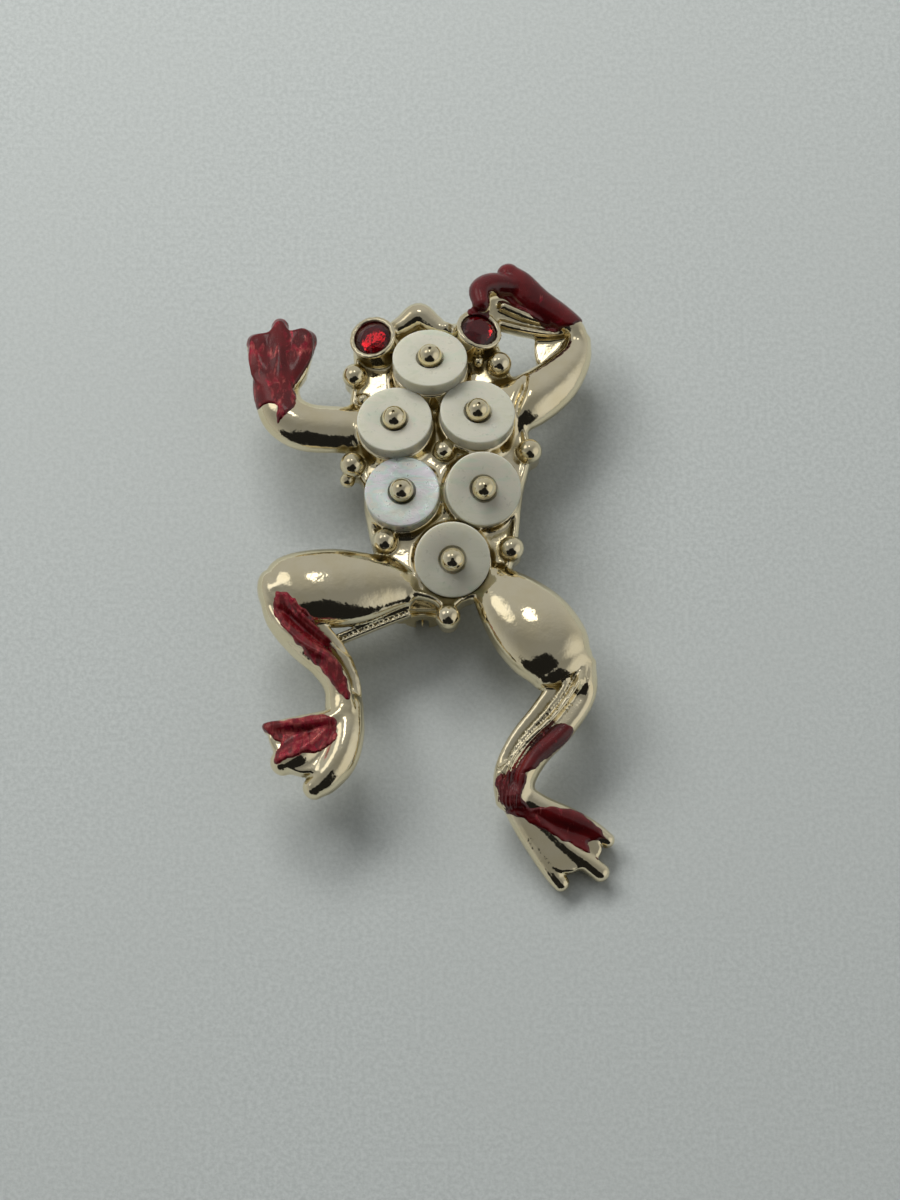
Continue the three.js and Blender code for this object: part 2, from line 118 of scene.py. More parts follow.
def smooth_path(stops, per_span=9, closed=False):
    """Catmull-Rom samples through the stops, in any number of columns."""
    stops = np.asarray(stops, float)
    if closed:
        padded = np.vstack([stops[-1:], stops, stops[:2]])
    else:
        padded = np.vstack([2 * stops[0] - stops[1], stops, 2 * stops[-1] - stops[-2]])
    rows = []
    for p0, p1, p2, p3 in zip(padded, padded[1:], padded[2:], padded[3:]):
        for t in np.arange(per_span) / per_span:
            rows.append(
                0.5 * (2 * p1 + (p2 - p0) * t + (2 * p0 - 5 * p1 + 4 * p2 - p3) * t**2
                       + (3 * p1 - p0 - 3 * p2 + p3) * t**3)
            )
    if not closed:
        rows.append(stops[-1])
    return np.array(rows)


def outline_distance(x, y, outline):
    """Signed distance to a closed plan outline, negative inside."""
    nearest = np.full(x.shape, 1e9)
    inside = np.zeros(x.shape, bool)
    for (ax, ay), (bx, by) in zip(outline, np.roll(outline, -1, axis=0)):
        ex, ey = bx - ax, by - ay
        wx, wy = x - ax, y - ay
        t = np.clip((wx * ex + wy * ey) / (ex * ex + ey * ey + 1e-12), 0, 1)
        nearest = np.minimum(nearest, (wx - t * ex) ** 2 + (wy - t * ey) ** 2)
        crosses = (ay > y) != (by > y)
        if ey != 0:
            inside ^= crosses & (x < ax + ex * (y - ay) / ey)
    return np.where(inside, -1.0, 1.0) * np.sqrt(nearest)


class Shape:
    """One part of the casting: its box, how softly it joins what came before, and its distance field."""

    def __init__(self, low, high, blend, field, cut=False):
        self.low = np.asarray(low, float) - 1.0
        self.high = np.asarray(high, float) + 1.0
        self.blend = blend
        self.field = field
        self.cut = cut


class Groove:
    """A flute along a limb. Angle 90 is the top; depth is a share of the limb's radius, negative for a ridge."""

    def __init__(self, at, angles, depth, width):
        self.at = at
        self.angles = np.radians(angles)
        self.depth = depth
        self.width = math.radians(width)


def limb(stops, blend=0.3, grooves=(), wall=1.0, cap=0.6, squareness=2.0):
    """A domed strand that rolls under at its edges. Each stop is x, y, z, half width, dome height."""
    path = smooth_path(stops)
    centres, sizes = path[:, :3], path[:, 3:5]
    tangents = np.gradient(centres, axis=0)
    steps = np.linalg.norm(tangents, axis=1)
    tangents /= steps[:, None]
    last = len(path) - 1

    def field(points):
        index = np.empty(len(points), int)
        for start in range(0, len(points), 40000):
            part = points[start:start + 40000]
            gaps = ((part[:, None, :] - centres[None]) ** 2).sum(axis=2)
            index[start:start + 40000] = gaps.argmin(axis=1)
        ahead = ((points - centres[index]) * tangents[index]).sum(axis=1) / steps[index]
        raw = index + ahead
        t = np.clip(raw, 0, last)
        low = np.minimum(t.astype(int), last - 1)
        mix = (t - low)[:, None]
        centre = centres[low] * (1 - mix) + centres[low + 1] * mix
        along = tangents[low] * (1 - mix) + tangents[low + 1] * mix
        size = sizes[low] * (1 - mix) + sizes[low + 1] * mix
        across = np.stack([along[:, 1], -along[:, 0], np.zeros(len(t))], axis=1)
        across /= np.linalg.norm(across, axis=1)[:, None]
        up = np.cross(across, along)
        up /= np.linalg.norm(up, axis=1)[:, None]
        offset = points - centre
        a = (offset * across).sum(axis=1)
        b = (offset * up).sum(axis=1)
        e = (raw - t) * steps[low] / cap
        w, h = size[:, 0], size[:, 1]
        side = np.sqrt(a * a + e * e)
        reach = np.sqrt(side * side + b * b) + 1e-9
        high = np.where(b > 0, h, wall * 1.2)
        power = squareness
        rho = ((side / w) ** power + np.abs(b / high) ** power) ** (1 / power) + 1e-9
        radius = np.ones(len(t))
        if grooves:
            angle = np.arctan2(b / h, a / w)
            share = t / last
            for groove in grooves:
                middle = np.interp(share, groove.at, groove.angles)
                fade = np.clip((share - groove.at[0]) / 0.08, 0, 1) * np.clip((groove.at[-1] - share) / 0.08, 0, 1)
                radius -= groove.depth * fade * np.exp(-(((angle - middle) / groove.width) ** 2))
        return reach * (1 - radius / rho)

    pad = sizes.max(axis=0).max() + 0.3
    return Shape(centres.min(axis=0) - pad, centres.max(axis=0) + pad, blend, field)


def bead(place, radius, blend=0.18):
    place = np.asarray(place, float)

    def field(points):
        return np.linalg.norm(points - place, axis=1) - radius

    return Shape(place - radius, place + radius, blend, field)


def post(place, radius, blend=0.35):
    """An upright stub from the flat back up to a bead."""
    x, y, z = place

    def field(points):
        side = np.hypot(points[:, 0] - x, points[:, 1] - y) - radius
        return soft_max(soft_max(side, points[:, 2] - z, 0.3), BACK_Z - points[:, 2], 0.15)

    return Shape((x - radius, y - radius, BACK_Z), (x + radius, y + radius, z), blend, field)


def web(outline, plane, thickness, blend=0.3):
    """A thin plate with a plan outline. Its middle height is plane = (height, slope along x, slope along y)."""
    smooth = smooth_path(outline, 4, closed=True)
    height, slope_x, slope_y = plane
    middle = smooth.mean(axis=0)

    def field(points):
        flat = outline_distance(points[:, 0], points[:, 1], smooth)
        centre = height + slope_x * (points[:, 0] - middle[0]) + slope_y * (points[:, 1] - middle[1])
        return soft_max(flat, np.abs(points[:, 2] - centre) - thickness / 2, 0.25)

    low = np.append(smooth.min(axis=0), height - 2.5)
    high = np.append(smooth.max(axis=0), height + 2.5)
    return Shape(low, high, blend, field)


def turned(place, axis, radius, field_of, low, high, blend, cut=False):
    """A round shape about an axis; field_of takes the radius and the height along it."""

    def field(points):
        offset = points - place
        height = offset @ axis
        side = np.linalg.norm(offset - height[:, None] * axis, axis=1)
        return field_of(side, height)

    reach = math.hypot(radius, max(abs(low), abs(high)))
    return Shape(place - reach, place + reach, blend, field, cut)


# ---------------------------------------------------------------- the casting's design
BODY_OUTLINE = [
    (-8.5, 18.0), (-8.8, 14.2), (-8.7, 10.1), (-7.2, 7.6), (-6.9, 4.4), (-6.3, 1.3), (-4.9, -1.9),
    (-2.6, -4.4), (0.2, -5.4), (1.6, -7.1), (3.0, -5.4), (5.6, -4.2), (8.1, -1.6), (8.8, 1.7), (9.3, 6.6),
    (10.2, 11.0), (9.6, 15.0), (8.8, 18.5), (7.6, 21.0), (6.4, 24.5), (4.4, 25.8), (1.3, 24.9),
    (-1.5, 27.0), (-4.0, 25.8), (-6.4, 25.4), (-8.2, 23.6), (-8.2, 20.6),
]
DOME = {"x": 0.6, "y": 9.8, "top": 8.0, "radius": 29.0}
RIM_BEADS = [
    (-8.1, 19.4, 7.3), (-8.3, 9.5, 7.3), (-4.9, 1.1, 7.2), (1.6, -7.0, 6.7), (8.1, 0.3, 7.2),
    (10.0, 11.0, 7.3), (6.9, 20.7, 7.5),
]
MIDDLE_BEAD = (1.2, 10.6, 8.5)
MIDDLE_BEAD_RADIUS = 1.15
BEAD_RADIUS = 1.3
GRAINS = [
    (4.75, 20.9, 7.6, 0.6), (-7.2, 16.9, 6.9, 0.7), (-8.5, 15.8, 6.6, 0.65), (-8.9, 14.2, 7.3, 0.35),
    (-8.4, 11.9, 6.9, 0.7), (-8.8, 8.2, 6.2, 0.8),
]
FINE_LINES = 6  # engraved lines along each shin: depth as a share of its radius, width in degrees
FINE_LINE_DEPTH = 0.08
FINE_LINE_WIDTH = 3.5


def body_shapes():
    outline = smooth_path(BODY_OUTLINE, 4, closed=True)

    def body(points):
        x, y, z = points.T
        flat = outline_distance(x, y, outline)
        dome = DOME["top"] - ((x - DOME["x"]) ** 2 + (y - DOME["y"]) ** 2) / (2 * DOME["radius"])
        rim = RIM_Z + 0.35 * np.exp(-(((flat + 0.45) / 0.35) ** 2))
        top = soft_max(dome, rim, 0.4)
        return soft_max(soft_max(flat, z - top, 0.45), BACK_Z - z, 0.15)

    low = np.append(outline.min(axis=0), BACK_Z)
    high = np.append(outline.max(axis=0), 8.6)
    shapes = [Shape(low, high, 0.1, body)]
    for centre, axis in DISC_PLACES:

        def seat(side, height):
            return soft_max(side - DISC_RADIUS - 0.1, height + DISC_THICKNESS + 0.03, 0.2)

        shapes.append(turned(centre, axis, 4.2, seat, -4, 0, 0.7))
    return shapes


def head_shapes():
    rim = [
        (-4.4, 24.5, 6.9, 0.9, 0.9), (-3.0, 25.3, 7.1, 1.1, 1.0), (-1.5, 26.3, 7.3, 1.3, 1.1),
        (-0.1, 25.4, 7.2, 1.1, 1.0), (1.3, 24.5, 7.1, 0.9, 0.9), (3.2, 24.7, 7.0, 0.8, 0.8),
    ]
    shapes = [limb(rim, blend=0.3, wall=2.0, cap=1.0), bead((1.35, 24.75, 7.6), 0.6, 0.3)]
    for place, axis in STONE_PLACES.values():
        girdle = place - axis * STONE_TOP

        def cup(side, height):
            outer = 2.42 + 0.07 * np.clip(height, -4, 0.4)
            return soft_max(side - outer, soft_max(height - 0.42, -4.2 - height, 0.1), 0.14)

        shapes.append(turned(girdle, axis, 2.5, cup, -4, 0.5, 0.35))
    return shapes


def cuts():
    """What the discs, their studs and the stones take out of the casting."""
    shapes = []
    for centre, axis in DISC_PLACES:

        def room(side, height):
            return soft_max(side - DISC_RADIUS - 0.08, -DISC_THICKNESS - 0.02 - height, 0.05)

        shapes.append(turned(centre, axis, 4.2, room, -2, 4, 0.08, cut=True))
    for place, axis in STONE_PLACES.values():
        girdle = place - axis * STONE_TOP

        def pocket(side, height):
            return soft_max(side - STONE_RADIUS - 0.03, -0.15 - height, 0.08)

        shapes.append(turned(girdle, axis, 2.5, pocket, -2, 2, 0.08, cut=True))
    return shapes


def arm_shapes():
    left = [
        (-6.8, 13.8, 6.2, 2.55, 1.6), (-10.0, 13.7, 6.5, 2.55, 1.8), (-13.3, 13.9, 6.8, 2.6, 1.95),
        (-15.4, 15.3, 6.9, 2.5, 1.9), (-16.2, 17.7, 6.9, 2.35, 1.6), (-16.0, 20.4, 6.9, 2.6, 1.25),
        (-15.9, 22.3, 6.8, 2.75, 1.0),
    ]
    shapes = [limb(left, blend=0.5, wall=1.2)]
    palm = [
        (-18.9, 22.8), (-18.3, 18.6), (-13.7, 18.6), (-12.7, 22.8), (-13.4, 24.4), (-15.0, 24.2), (-16.0, 25.2),
        (-17.0, 24.1), (-18.3, 23.7),
    ]
    shapes.append(web(palm, (6.9, 0, 0), 1.9, 0.4))
    fingers = [
        [(-17.1, 18.2, 6.9, 0.8, 0.9), (-18.0, 20.9, 7.0, 1.05, 1.1), (-18.35, 23.1, 6.8, 1.1, 1.0)],
        [(-16.0, 18.0, 7.1, 0.8, 1.0), (-16.0, 22.1, 7.1, 1.0, 1.15), (-15.95, 25.1, 6.8, 0.8, 0.9)],
        [(-14.9, 18.2, 6.9, 0.8, 0.9), (-13.9, 21.1, 7.0, 1.1, 1.1), (-13.35, 23.5, 6.8, 1.2, 1.0)],
    ]
    shapes += [limb(finger, blend=0.45, wall=0.9, cap=0.95) for finger in fingers]
    upper = [
        (7.2, 15.9, 6.2, 3.0, 1.7), (9.9, 17.1, 6.1, 2.95, 2.1), (12.7, 19.4, 5.6, 2.6, 2.0),
        (14.7, 22.2, 5.0, 1.85, 1.7), (15.35, 24.6, 4.8, 1.25, 1.2),
    ]
    crease = Groove([0.06, 0.2, 0.34], [60, 100, 140], 0.3, 11)
    shapes.append(limb(upper, blend=0.5, wall=1.3, grooves=[crease]))
    ridges = [
        [(15.4, 23.8, 4.9, 1.0, 1.2), (14.8, 25.5, 5.2, 1.15, 1.3), (13.1, 26.8, 5.7, 1.35, 1.2),
         (10.9, 28.1, 6.4, 1.5, 1.15), (9.0, 29.8, 7.0, 1.5, 1.05), (7.9, 30.9, 7.2, 1.1, 0.9)],
        [(8.2, 29.6, 7.2, 1.0, 1.0), (6.2, 29.5, 7.8, 1.15, 1.1), (5.0, 28.6, 8.3, 1.1, 1.0),
         (5.1, 27.1, 8.6, 0.9, 0.8)],
        [(12.6, 26.0, 5.4, 0.5, 0.6), (9.8, 26.4, 6.3, 0.6, 0.95), (7.2, 27.2, 7.1, 0.6, 1.0)],
        [(13.6, 25.1, 5.0, 0.4, 0.7), (11.7, 24.9, 5.4, 0.45, 0.8), (9.3, 25.0, 6.1, 0.5, 0.9),
         (7.0, 25.3, 6.9, 0.5, 0.8)],
    ]
    shapes += [limb(ridge, blend=0.25, wall=0.9, cap=0.95) for ridge in ridges]
    palm = [(12.6, 25.1), (11.4, 27.2), (8.8, 29.2), (5.5, 28.9), (5.4, 26.0), (9.4, 24.8)]
    shapes.append(web(palm, (6.2, -0.3, 0.1), 1.2, 0.3))
    elbow = [(11.2, 21.6), (14.8, 22.3), (15.2, 25.7), (12.2, 25.7), (10.7, 24.6)]
    shapes.append(web(elbow, (4.3, 0, 0), 1.2, 0.3))
    return shapes


def left_leg_shapes():
    thigh = [
        (-2.6, -3.6, 5.8, 2.0, 1.4), (-5.4, -3.5, 6.0, 3.3, 2.0), (-8.6, -3.7, 6.1, 4.1, 2.6),
        (-11.6, -3.8, 6.2, 4.2, 2.8), (-14.3, -4.0, 6.2, 3.9, 2.6), (-16.0, -4.6, 6.2, 3.0, 2.0),
    ]
    shin = [
        (-15.4, -4.0, 6.5, 2.4, 1.9), (-14.6, -6.6, 6.4, 2.6, 2.1), (-12.7, -9.2, 6.3, 2.5, 2.0),
        (-10.5, -11.6, 6.2, 2.2, 1.9), (-9.2, -14.2, 6.1, 1.9, 1.8), (-9.0, -17.0, 6.0, 1.9, 1.6),
    ]
    flutes = [
        Groove([0.02, 0.25, 0.5, 0.75, 1.0], [62, 82, 106, 136, 150], 0.5, 18),
        Groove([0.0, 0.2, 0.45, 0.65], [106, 122, 142, 165], 0.42, 13),
        Groove([0.02, 0.3, 0.55, 0.8], [86, 103, 125, 150], -0.12, 8),
        Groove([0.2, 0.45, 0.7, 1.2], [48, 66, 95, 125], -0.14, 12),
        Groove([0.5, 0.75, 1.2], [112, 140, 158], 0.3, 10),
    ]
    for k in range(FINE_LINES):
        angles = [58 + 11 * k, 76 + 11 * k, 98 + 11 * k, 126 + 8 * k, 134 + 8 * k]
        flutes.append(Groove([0.0, 0.25, 0.5, 0.75, 1.2], angles, FINE_LINE_DEPTH, FINE_LINE_WIDTH))
    shapes = [
        limb(thigh, blend=0.5, wall=1.3, squareness=2.2),
        limb(shin, blend=0.16, wall=1.2, grooves=flutes),
    ]
    toes = [
        [(-8.9, -16.0, 6.2, 1.4, 1.4), (-9.9, -17.9, 6.3, 1.3, 1.5), (-12.2, -18.5, 6.4, 1.0, 1.35),
         (-14.6, -18.7, 6.4, 0.8, 1.1), (-16.6, -18.9, 6.3, 0.65, 0.8)],
        [(-9.2, -17.2, 6.1, 1.3, 1.4), (-11.2, -19.8, 6.1, 1.25, 1.45), (-13.4, -21.7, 6.1, 1.55, 1.6),
         (-15.2, -22.4, 5.8, 1.35, 1.4)],
        [(-8.9, -16.6, 6.0, 1.9, 1.6), (-8.8, -19.4, 5.9, 1.9, 1.9), (-9.4, -22.0, 5.8, 1.85, 2.0),
         (-10.8, -24.0, 5.6, 1.6, 1.8), (-12.0, -25.0, 5.4, 1.2, 1.3)],
    ]
    shapes += [limb(toe, blend=0.28, wall=1.0, cap=0.9) for toe in toes]
    sole = [(-9.6, -17.4), (-16.2, -18.8), (-15.8, -21.8), (-13.2, -23.9), (-9.8, -22.4)]
    shapes.append(web(sole, (6.2, 0, 0), 1.7, 0.35))
    for offset in (0.0, 0.62):
        z = 5.6 - offset * 0.5
        strip = [
            (-2.4, -5.6 - offset, z, 0.26, 0.35), (-6.0, -7.1 - offset, z, 0.26, 0.35),
            (-9.9, -8.8 - offset, z, 0.24, 0.3),
        ]
        shapes.append(limb(strip, blend=0.12, wall=0.7, cap=1.0))
    return shapes


def right_leg_shapes():
    thigh = [
        (5.8, -3.0, 5.9, 2.3, 1.5), (7.8, -5.2, 6.1, 3.6, 2.3), (10.0, -7.7, 6.0, 4.4, 2.9),
        (12.0, -10.2, 5.8, 4.3, 2.9), (13.2, -12.0, 5.5, 3.5, 2.5),
    ]
    shin = [
        (15.2, -11.4, 5.6, 1.6, 1.6), (14.3, -14.4, 5.3, 2.5, 2.2), (12.2, -17.6, 4.9, 2.6, 2.2),
        (9.8, -20.4, 4.4, 2.4, 2.1), (8.4, -23.2, 3.9, 2.2, 1.9), (8.4, -25.6, 3.2, 2.0, 1.6),
    ]
    flutes = [
        Groove([0.05, 0.3, 0.55, 0.8], [48, 50, 42, 32], 0.45, 13),
        Groove([0.05, 0.35, 0.6, 0.9], [82, 80, 66, 50], 0.26, 9),
        Groove([0.15, 0.4, 0.65, 0.95], [126, 116, 96, 80], 0.42, 22),
        Groove([0.1, 0.4, 0.65, 0.9], [102, 96, 80, 64], -0.14, 8),
    ]
    for k in range(FINE_LINES):
        angles = [60 + 12 * k, 58 + 12 * k, 46 + 12 * k, 30 + 12 * k]
        flutes.append(Groove([0.0, 0.3, 0.6, 1.2], angles, FINE_LINE_DEPTH, FINE_LINE_WIDTH))
    shapes = [
        limb(thigh, blend=0.5, wall=1.4, squareness=2.2),
        limb(shin, blend=0.16, wall=1.2, grooves=flutes),
    ]
    toes = [
        [(8.3, -24.6, 3.3, 1.4, 1.5), (10.9, -26.2, 2.8, 1.35, 1.5), (13.8, -27.3, 2.3, 1.25, 1.4),
         (16.2, -28.3, 1.8, 1.0, 1.2), (17.8, -29.3, 1.5, 0.8, 0.9)],
        [(8.2, -25.0, 3.1, 1.2, 1.3), (10.8, -27.8, 2.4, 0.7, 1.3), (13.4, -30.1, 1.9, 0.75, 1.2),
         (15.6, -31.6, 1.6, 0.95, 1.1), (17.1, -32.7, 1.4, 0.95, 0.9)],
        [(7.6, -25.0, 3.0, 1.0, 1.3), (8.9, -28.2, 2.3, 0.65, 1.2), (10.6, -30.8, 1.8, 0.7, 1.1),
         (12.1, -32.7, 1.5, 0.85, 1.0), (13.1, -33.8, 1.3, 0.85, 0.8)],
    ]
    shapes += [limb(toe, blend=0.2, wall=0.9, cap=0.9) for toe in toes]
    sole = [
        (8.6, -25.6), (12.6, -26.8), (16.9, -29.6), (16.7, -31.4), (15.0, -32.4), (13.7, -32.9), (12.2, -32.4),
        (9.2, -28.6),
    ]
    shapes.append(web(sole, (2.3, -0.15, 0.14), 1.1, 0.3))
    return shapes


def casting_shapes():
    parts = body_shapes() + left_leg_shapes() + right_leg_shapes() + arm_shapes() + head_shapes() + cuts()
    for place in RIM_BEADS:
        parts.append(post(place, BEAD_RADIUS * 0.82))
        parts.append(bead(place, BEAD_RADIUS, 0.12))
    parts.append(bead(MIDDLE_BEAD, MIDDLE_BEAD_RADIUS, 0.15))
    parts += [bead((x, y, z), radius, 0.15) for x, y, z, radius in GRAINS]
    return parts


CASTING = casting_shapes()


def casting_field(points):
    """Distance to the casting's surface, negative inside."""
    distance = np.full(len(points), 1.5)
    for shape in CASTING:
        near = np.flatnonzero(np.all((points > shape.low) & (points < shape.high), axis=1))
        if len(near) == 0:
            continue
        value = shape.field(points[near])
        if shape.cut:
            distance[near] = soft_max(distance[near], -value, shape.blend)
        else:
            distance[near] = soft_min(distance[near], value, shape.blend)
    return distance


# ---------------------------------------------------------------- from a field to a mesh
def field_gradient(field, points, step=0.03):
    corners = np.array([(1, -1, -1), (-1, -1, 1), (-1, 1, -1), (1, 1, 1)], float)
    gradient = sum(corner * field(points + corner * step)[:, None] for corner in corners) / (4 * step)
    return gradient


def mesh_of_field(field, low, high, voxel, pull=True):
    """Points and quads of the surface where the field is zero, pulled onto the exact surface."""
    low = np.asarray(low, float)
    counts = np.ceil((np.asarray(high) - low) / voxel).astype(int) + 1
    values = np.empty(counts, np.float32)
    ys, zs = np.meshgrid(np.arange(counts[1]), np.arange(counts[2]), indexing="ij")
    for i in range(counts[0]):
        cells = np.stack([np.full(ys.shape, i), ys, zs], axis=-1).reshape(-1, 3)
        values[i] = field(low + cells * voxel).reshape(counts[1:])
    grid = openvdb.FloatGrid(1.5)
    grid.copyFromArray(values)
    points, quads = grid.convertToQuads(isovalue=0.0)
    points = low + points.astype(float) * voxel
    for _ in range(2 if pull else 0):
        distance = field(points)
        gradient = field_gradient(field, points)
        length = (gradient**2).sum(axis=1) + 1e-6
        move = -distance / length
        limit = 0.5 * voxel
        move = np.clip(move * np.sqrt(length), -limit, limit) / np.sqrt(length)
        points = points + gradient * move[:, None]
    return points, quads


def object_from(name, points, faces, smooth=True):
    """A Blender object from design-frame points. Faces are turned to point outwards."""
    mesh = bpy.data.meshes.new(name)
    world = (np.asarray(points) + SHIFT) * MM
    faces = np.asarray(faces)
    corners = world[faces]
    normals = np.cross(corners[:, 2] - corners[:, 0], corners[:, -1] - corners[:, 1])
    volume = (corners.mean(axis=1) * normals).sum()
    if volume < 0:
        faces = faces[:, ::-1]
    mesh.from_pydata(world.tolist(), [], faces.tolist())
    mesh.validate()
    mesh.polygons.foreach_set("use_smooth", [smooth] * len(mesh.polygons))
    obj = bpy.data.objects.new(name, mesh)
    bpy.context.scene.collection.objects.link(obj)
    return obj


def add_cavity(obj, field):
    """Stores how hollow the surface is at each point, from 0 on open ground to 1 in a deep groove or pit."""
    mesh = obj.data
    places = np.empty(len(mesh.vertices) * 3)
    mesh.vertices.foreach_get("co", places)
    normals = np.empty(len(mesh.vertices) * 3)
    mesh.vertices.foreach_get("normal", normals)
    points = places.reshape(-1, 3) / MM - SHIFT
    normals = normals.reshape(-1, 3)
    groove = 1 - field(points + normals * 0.7) / 0.7
    pit = 1 - np.minimum(field(points + normals * 1.6), 1.5) / 1.5
    cavity = np.clip(np.maximum(groove, 0.9 * pit), 0, 1)
    # The plating turns dark olive where this is high: patina and painted shade.
    layer = mesh.attributes.new("cavity", "FLOAT", "POINT")
    layer.data.foreach_set("value", cavity.astype(np.float32))


# ---------------------------------------------------------------- turned and cut pieces
def frame_of(axis):
    """Rows: two directions square to the axis, then the axis."""
    axis = np.asarray(axis, float) / np.linalg.norm(axis)
    side = np.cross([0.0, 1.0, 0.0], axis)
    side /= np.linalg.norm(side)
    return np.array([side, np.cross(axis, side), axis])


def arc(centre, radius, start, stop, steps=6):
    """Profile points along an arc, angles in degrees from the outward direction."""
    angles = np.radians(np.linspace(start, stop, steps))
    return [(centre[0] + radius * math.cos(a), centre[1] + radius * math.sin(a)) for a in angles]


def lathe(name, profile, segments, place, axis, bored=False):
    """A turned piece from a profile of radius and height. Bored profiles close on themselves."""
    turns = np.arange(segments) / segments * 2 * math.pi
    points, rings = [], []
    for radius, height in profile:
        count = segments if radius > 1e-6 else 1
        rings.append(range(len(points), len(points) + count))
        points += [(radius * math.cos(t), radius * math.sin(t), height) for t in turns[:count]]
    faces = []
    pairs = list(zip(rings, rings[1:] + rings[:1])) if bored else list(zip(rings, rings[1:]))
    for lower, upper in pairs:
        for i in range(segments):
            j = (i + 1) % segments
            corners = [lower[i % len(lower)], lower[j % len(lower)], upper[j % len(upper)], upper[i % len(upper)]]
            faces.append(corners)
    return object_from(name, np.asarray(points) @ frame_of(axis) + place, faces)


def disc_profile(edge):
    """A pearl disc from its top face down: rounded rim, bore, and a countersink for the stud's ball."""
    top = arc((DISC_RADIUS - edge, -edge), edge, 90, 0)
    foot = arc((DISC_RADIUS - edge, -DISC_THICKNESS + edge), edge, 0, -90)
    bore = [(0.85, -DISC_THICKNESS), (0.85, -0.85), (1.1, -0.6), (1.35, -0.22)]
    mouth = arc((1.52, -0.07), 0.07, 180, 90, 4)
    return mouth + top + foot + bore


STUD_BALL = 1.25
STUD_LIFT = 0.25
STUD_SHANK = 0.55


def stud_profile():
    neck = math.degrees(math.asin(STUD_SHANK / STUD_BALL)) - 90
    ball = arc((0, STUD_LIFT), STUD_BALL, neck, 90, 22)[:-1]
    return [(0, -2.4), (STUD_SHANK, -2.4), (STUD_SHANK, -1.2)] + ball + [(0, STUD_LIFT + STUD_BALL)]


def chaton(name, place, axis):
    """A faceted stone: eight-sided table, star, kite and upper facets, thin girdle, pointed foil-backed base."""
    turn = 2 * math.pi / 8
    table = [(1.02, i * turn, STONE_TOP) for i in range(8)]
    star = [(1.4, (i + 0.5) * turn, 0.53) for i in range(8)]
    upper = [(STONE_RADIUS, i * turn / 2, 0.15) for i in range(16)]
    lower = [(STONE_RADIUS, i * turn / 2, 0.0) for i in range(16)]
    rows = table + star + upper + lower + [(0, 0, -1.3)]
    points = np.array([(r * math.cos(a), r * math.sin(a), h) for r, a, h in rows])
    mesh = bmesh.new()
    corners = [mesh.verts.new((p @ frame_of(axis) + place + SHIFT) * MM) for p in points]
    mesh.faces.new(corners[:8])
    for i in range(8):
        j = (i + 1) % 8
        star_i, star_before = corners[8 + i], corners[8 + (i - 1) % 8]
        girdle, girdle_mid, girdle_next = (corners[16 + (2 * i + k) % 16] for k in range(3))
        mesh.faces.new((corners[i], star_i, corners[j]))
        mesh.faces.new((corners[i], star_before, girdle, star_i))
        mesh.faces.new((star_i, girdle, girdle_mid))
        mesh.faces.new((star_i, girdle_mid, girdle_next))
    for i in range(16):
        j = (i + 1) % 16
        mesh.faces.new((corners[16 + i], corners[32 + i], corners[32 + j], corners[16 + j]))
        back = mesh.faces.new((corners[32 + j], corners[32 + i], corners[48]))
        back.material_index = 1
    bmesh.ops.recalc_face_normals(mesh, faces=mesh.faces)
    data = bpy.data.meshes.new(name)
    mesh.to_mesh(data)
    mesh.free()
    obj = bpy.data.objects.new(name, data)
    bpy.context.scene.collection.objects.link(obj)
    return obj


def show(obj, node, body, materials):
    """The finished piece stands for its CAD node and moves with its body."""
    for material in materials:
        obj.data.materials.append(material)
    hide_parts(node)
    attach(obj, body)


# ---------------------------------------------------------------- enamel
ENAMEL = {
    "left_hand": [
        (-19.4, 24.4), (-17.4, 25.2), (-16.0, 27.0), (-14.6, 25.6), (-12.0, 25.4), (-11.8, 22.4), (-12.9, 19.9),
        (-14.1, 17.6), (-13.9, 15.8), (-14.6, 14.7), (-16.1, 13.2), (-16.4, 14.4), (-16.5, 15.5), (-18.5, 15.7),
        (-19.4, 18.0),
    ],
    "right_hand": [
        (6.2, 28.2), (8.6, 27.1), (11.2, 25.5), (12.9, 24.7), (14.0, 25.1), (15.0, 25.5), (16.2, 26.6),
        (13.4, 29.6), (10.6, 31.6), (8.6, 33.0), (6.0, 32.6), (3.6, 31.0), (3.0, 28.6), (3.6, 25.6), (6.0, 25.4),
        (6.1, 27.0),
    ],
    "left_shin": [
        (-15.6, -4.5), (-13.4, -6.0), (-10.9, -8.6), (-9.6, -11.0), (-8.4, -14.6), (-8.3, -16.2), (-9.2, -16.2),
        (-11.1, -13.6), (-13.7, -10.8), (-15.9, -8.1), (-16.5, -6.4), (-16.3, -4.8),
    ],
    "left_foot": [
        (-17.9, -18.4), (-14.6, -18.0), (-11.4, -17.6), (-9.6, -18.4), (-9.7, -20.6), (-11.4, -21.8),
        (-13.1, -22.3), (-15.8, -23.0), (-16.2, -21.6), (-15.6, -20.8), (-16.6, -20.0),
    ],
    "right_shin": [
        (12.0, -18.2), (14.4, -18.4), (14.2, -19.7), (11.8, -21.8), (9.9, -23.4), (8.2, -24.2), (7.6, -23.6),
        (8.7, -21.9), (10.4, -19.9),
    ],
    "right_foot": [
        (6.3, -23.8), (7.6, -22.9), (9.6, -23.2), (9.4, -25.6), (10.4, -26.4), (14.6, -26.4), (17.3, -28.6),
        (18.2, -29.8), (16.4, -29.6), (16.0, -30.2), (17.2, -31.8), (15.3, -30.9), (11.8, -29.2), (9.0, -27.8),
        (6.9, -26.6),
    ],
}
ENAMEL_SUNK = 0.12
ENAMEL_PROUD = 0.16


def smooth_step(value):
    value = np.clip(value, 0, 1)
    return value * value * (3 - 2 * value)


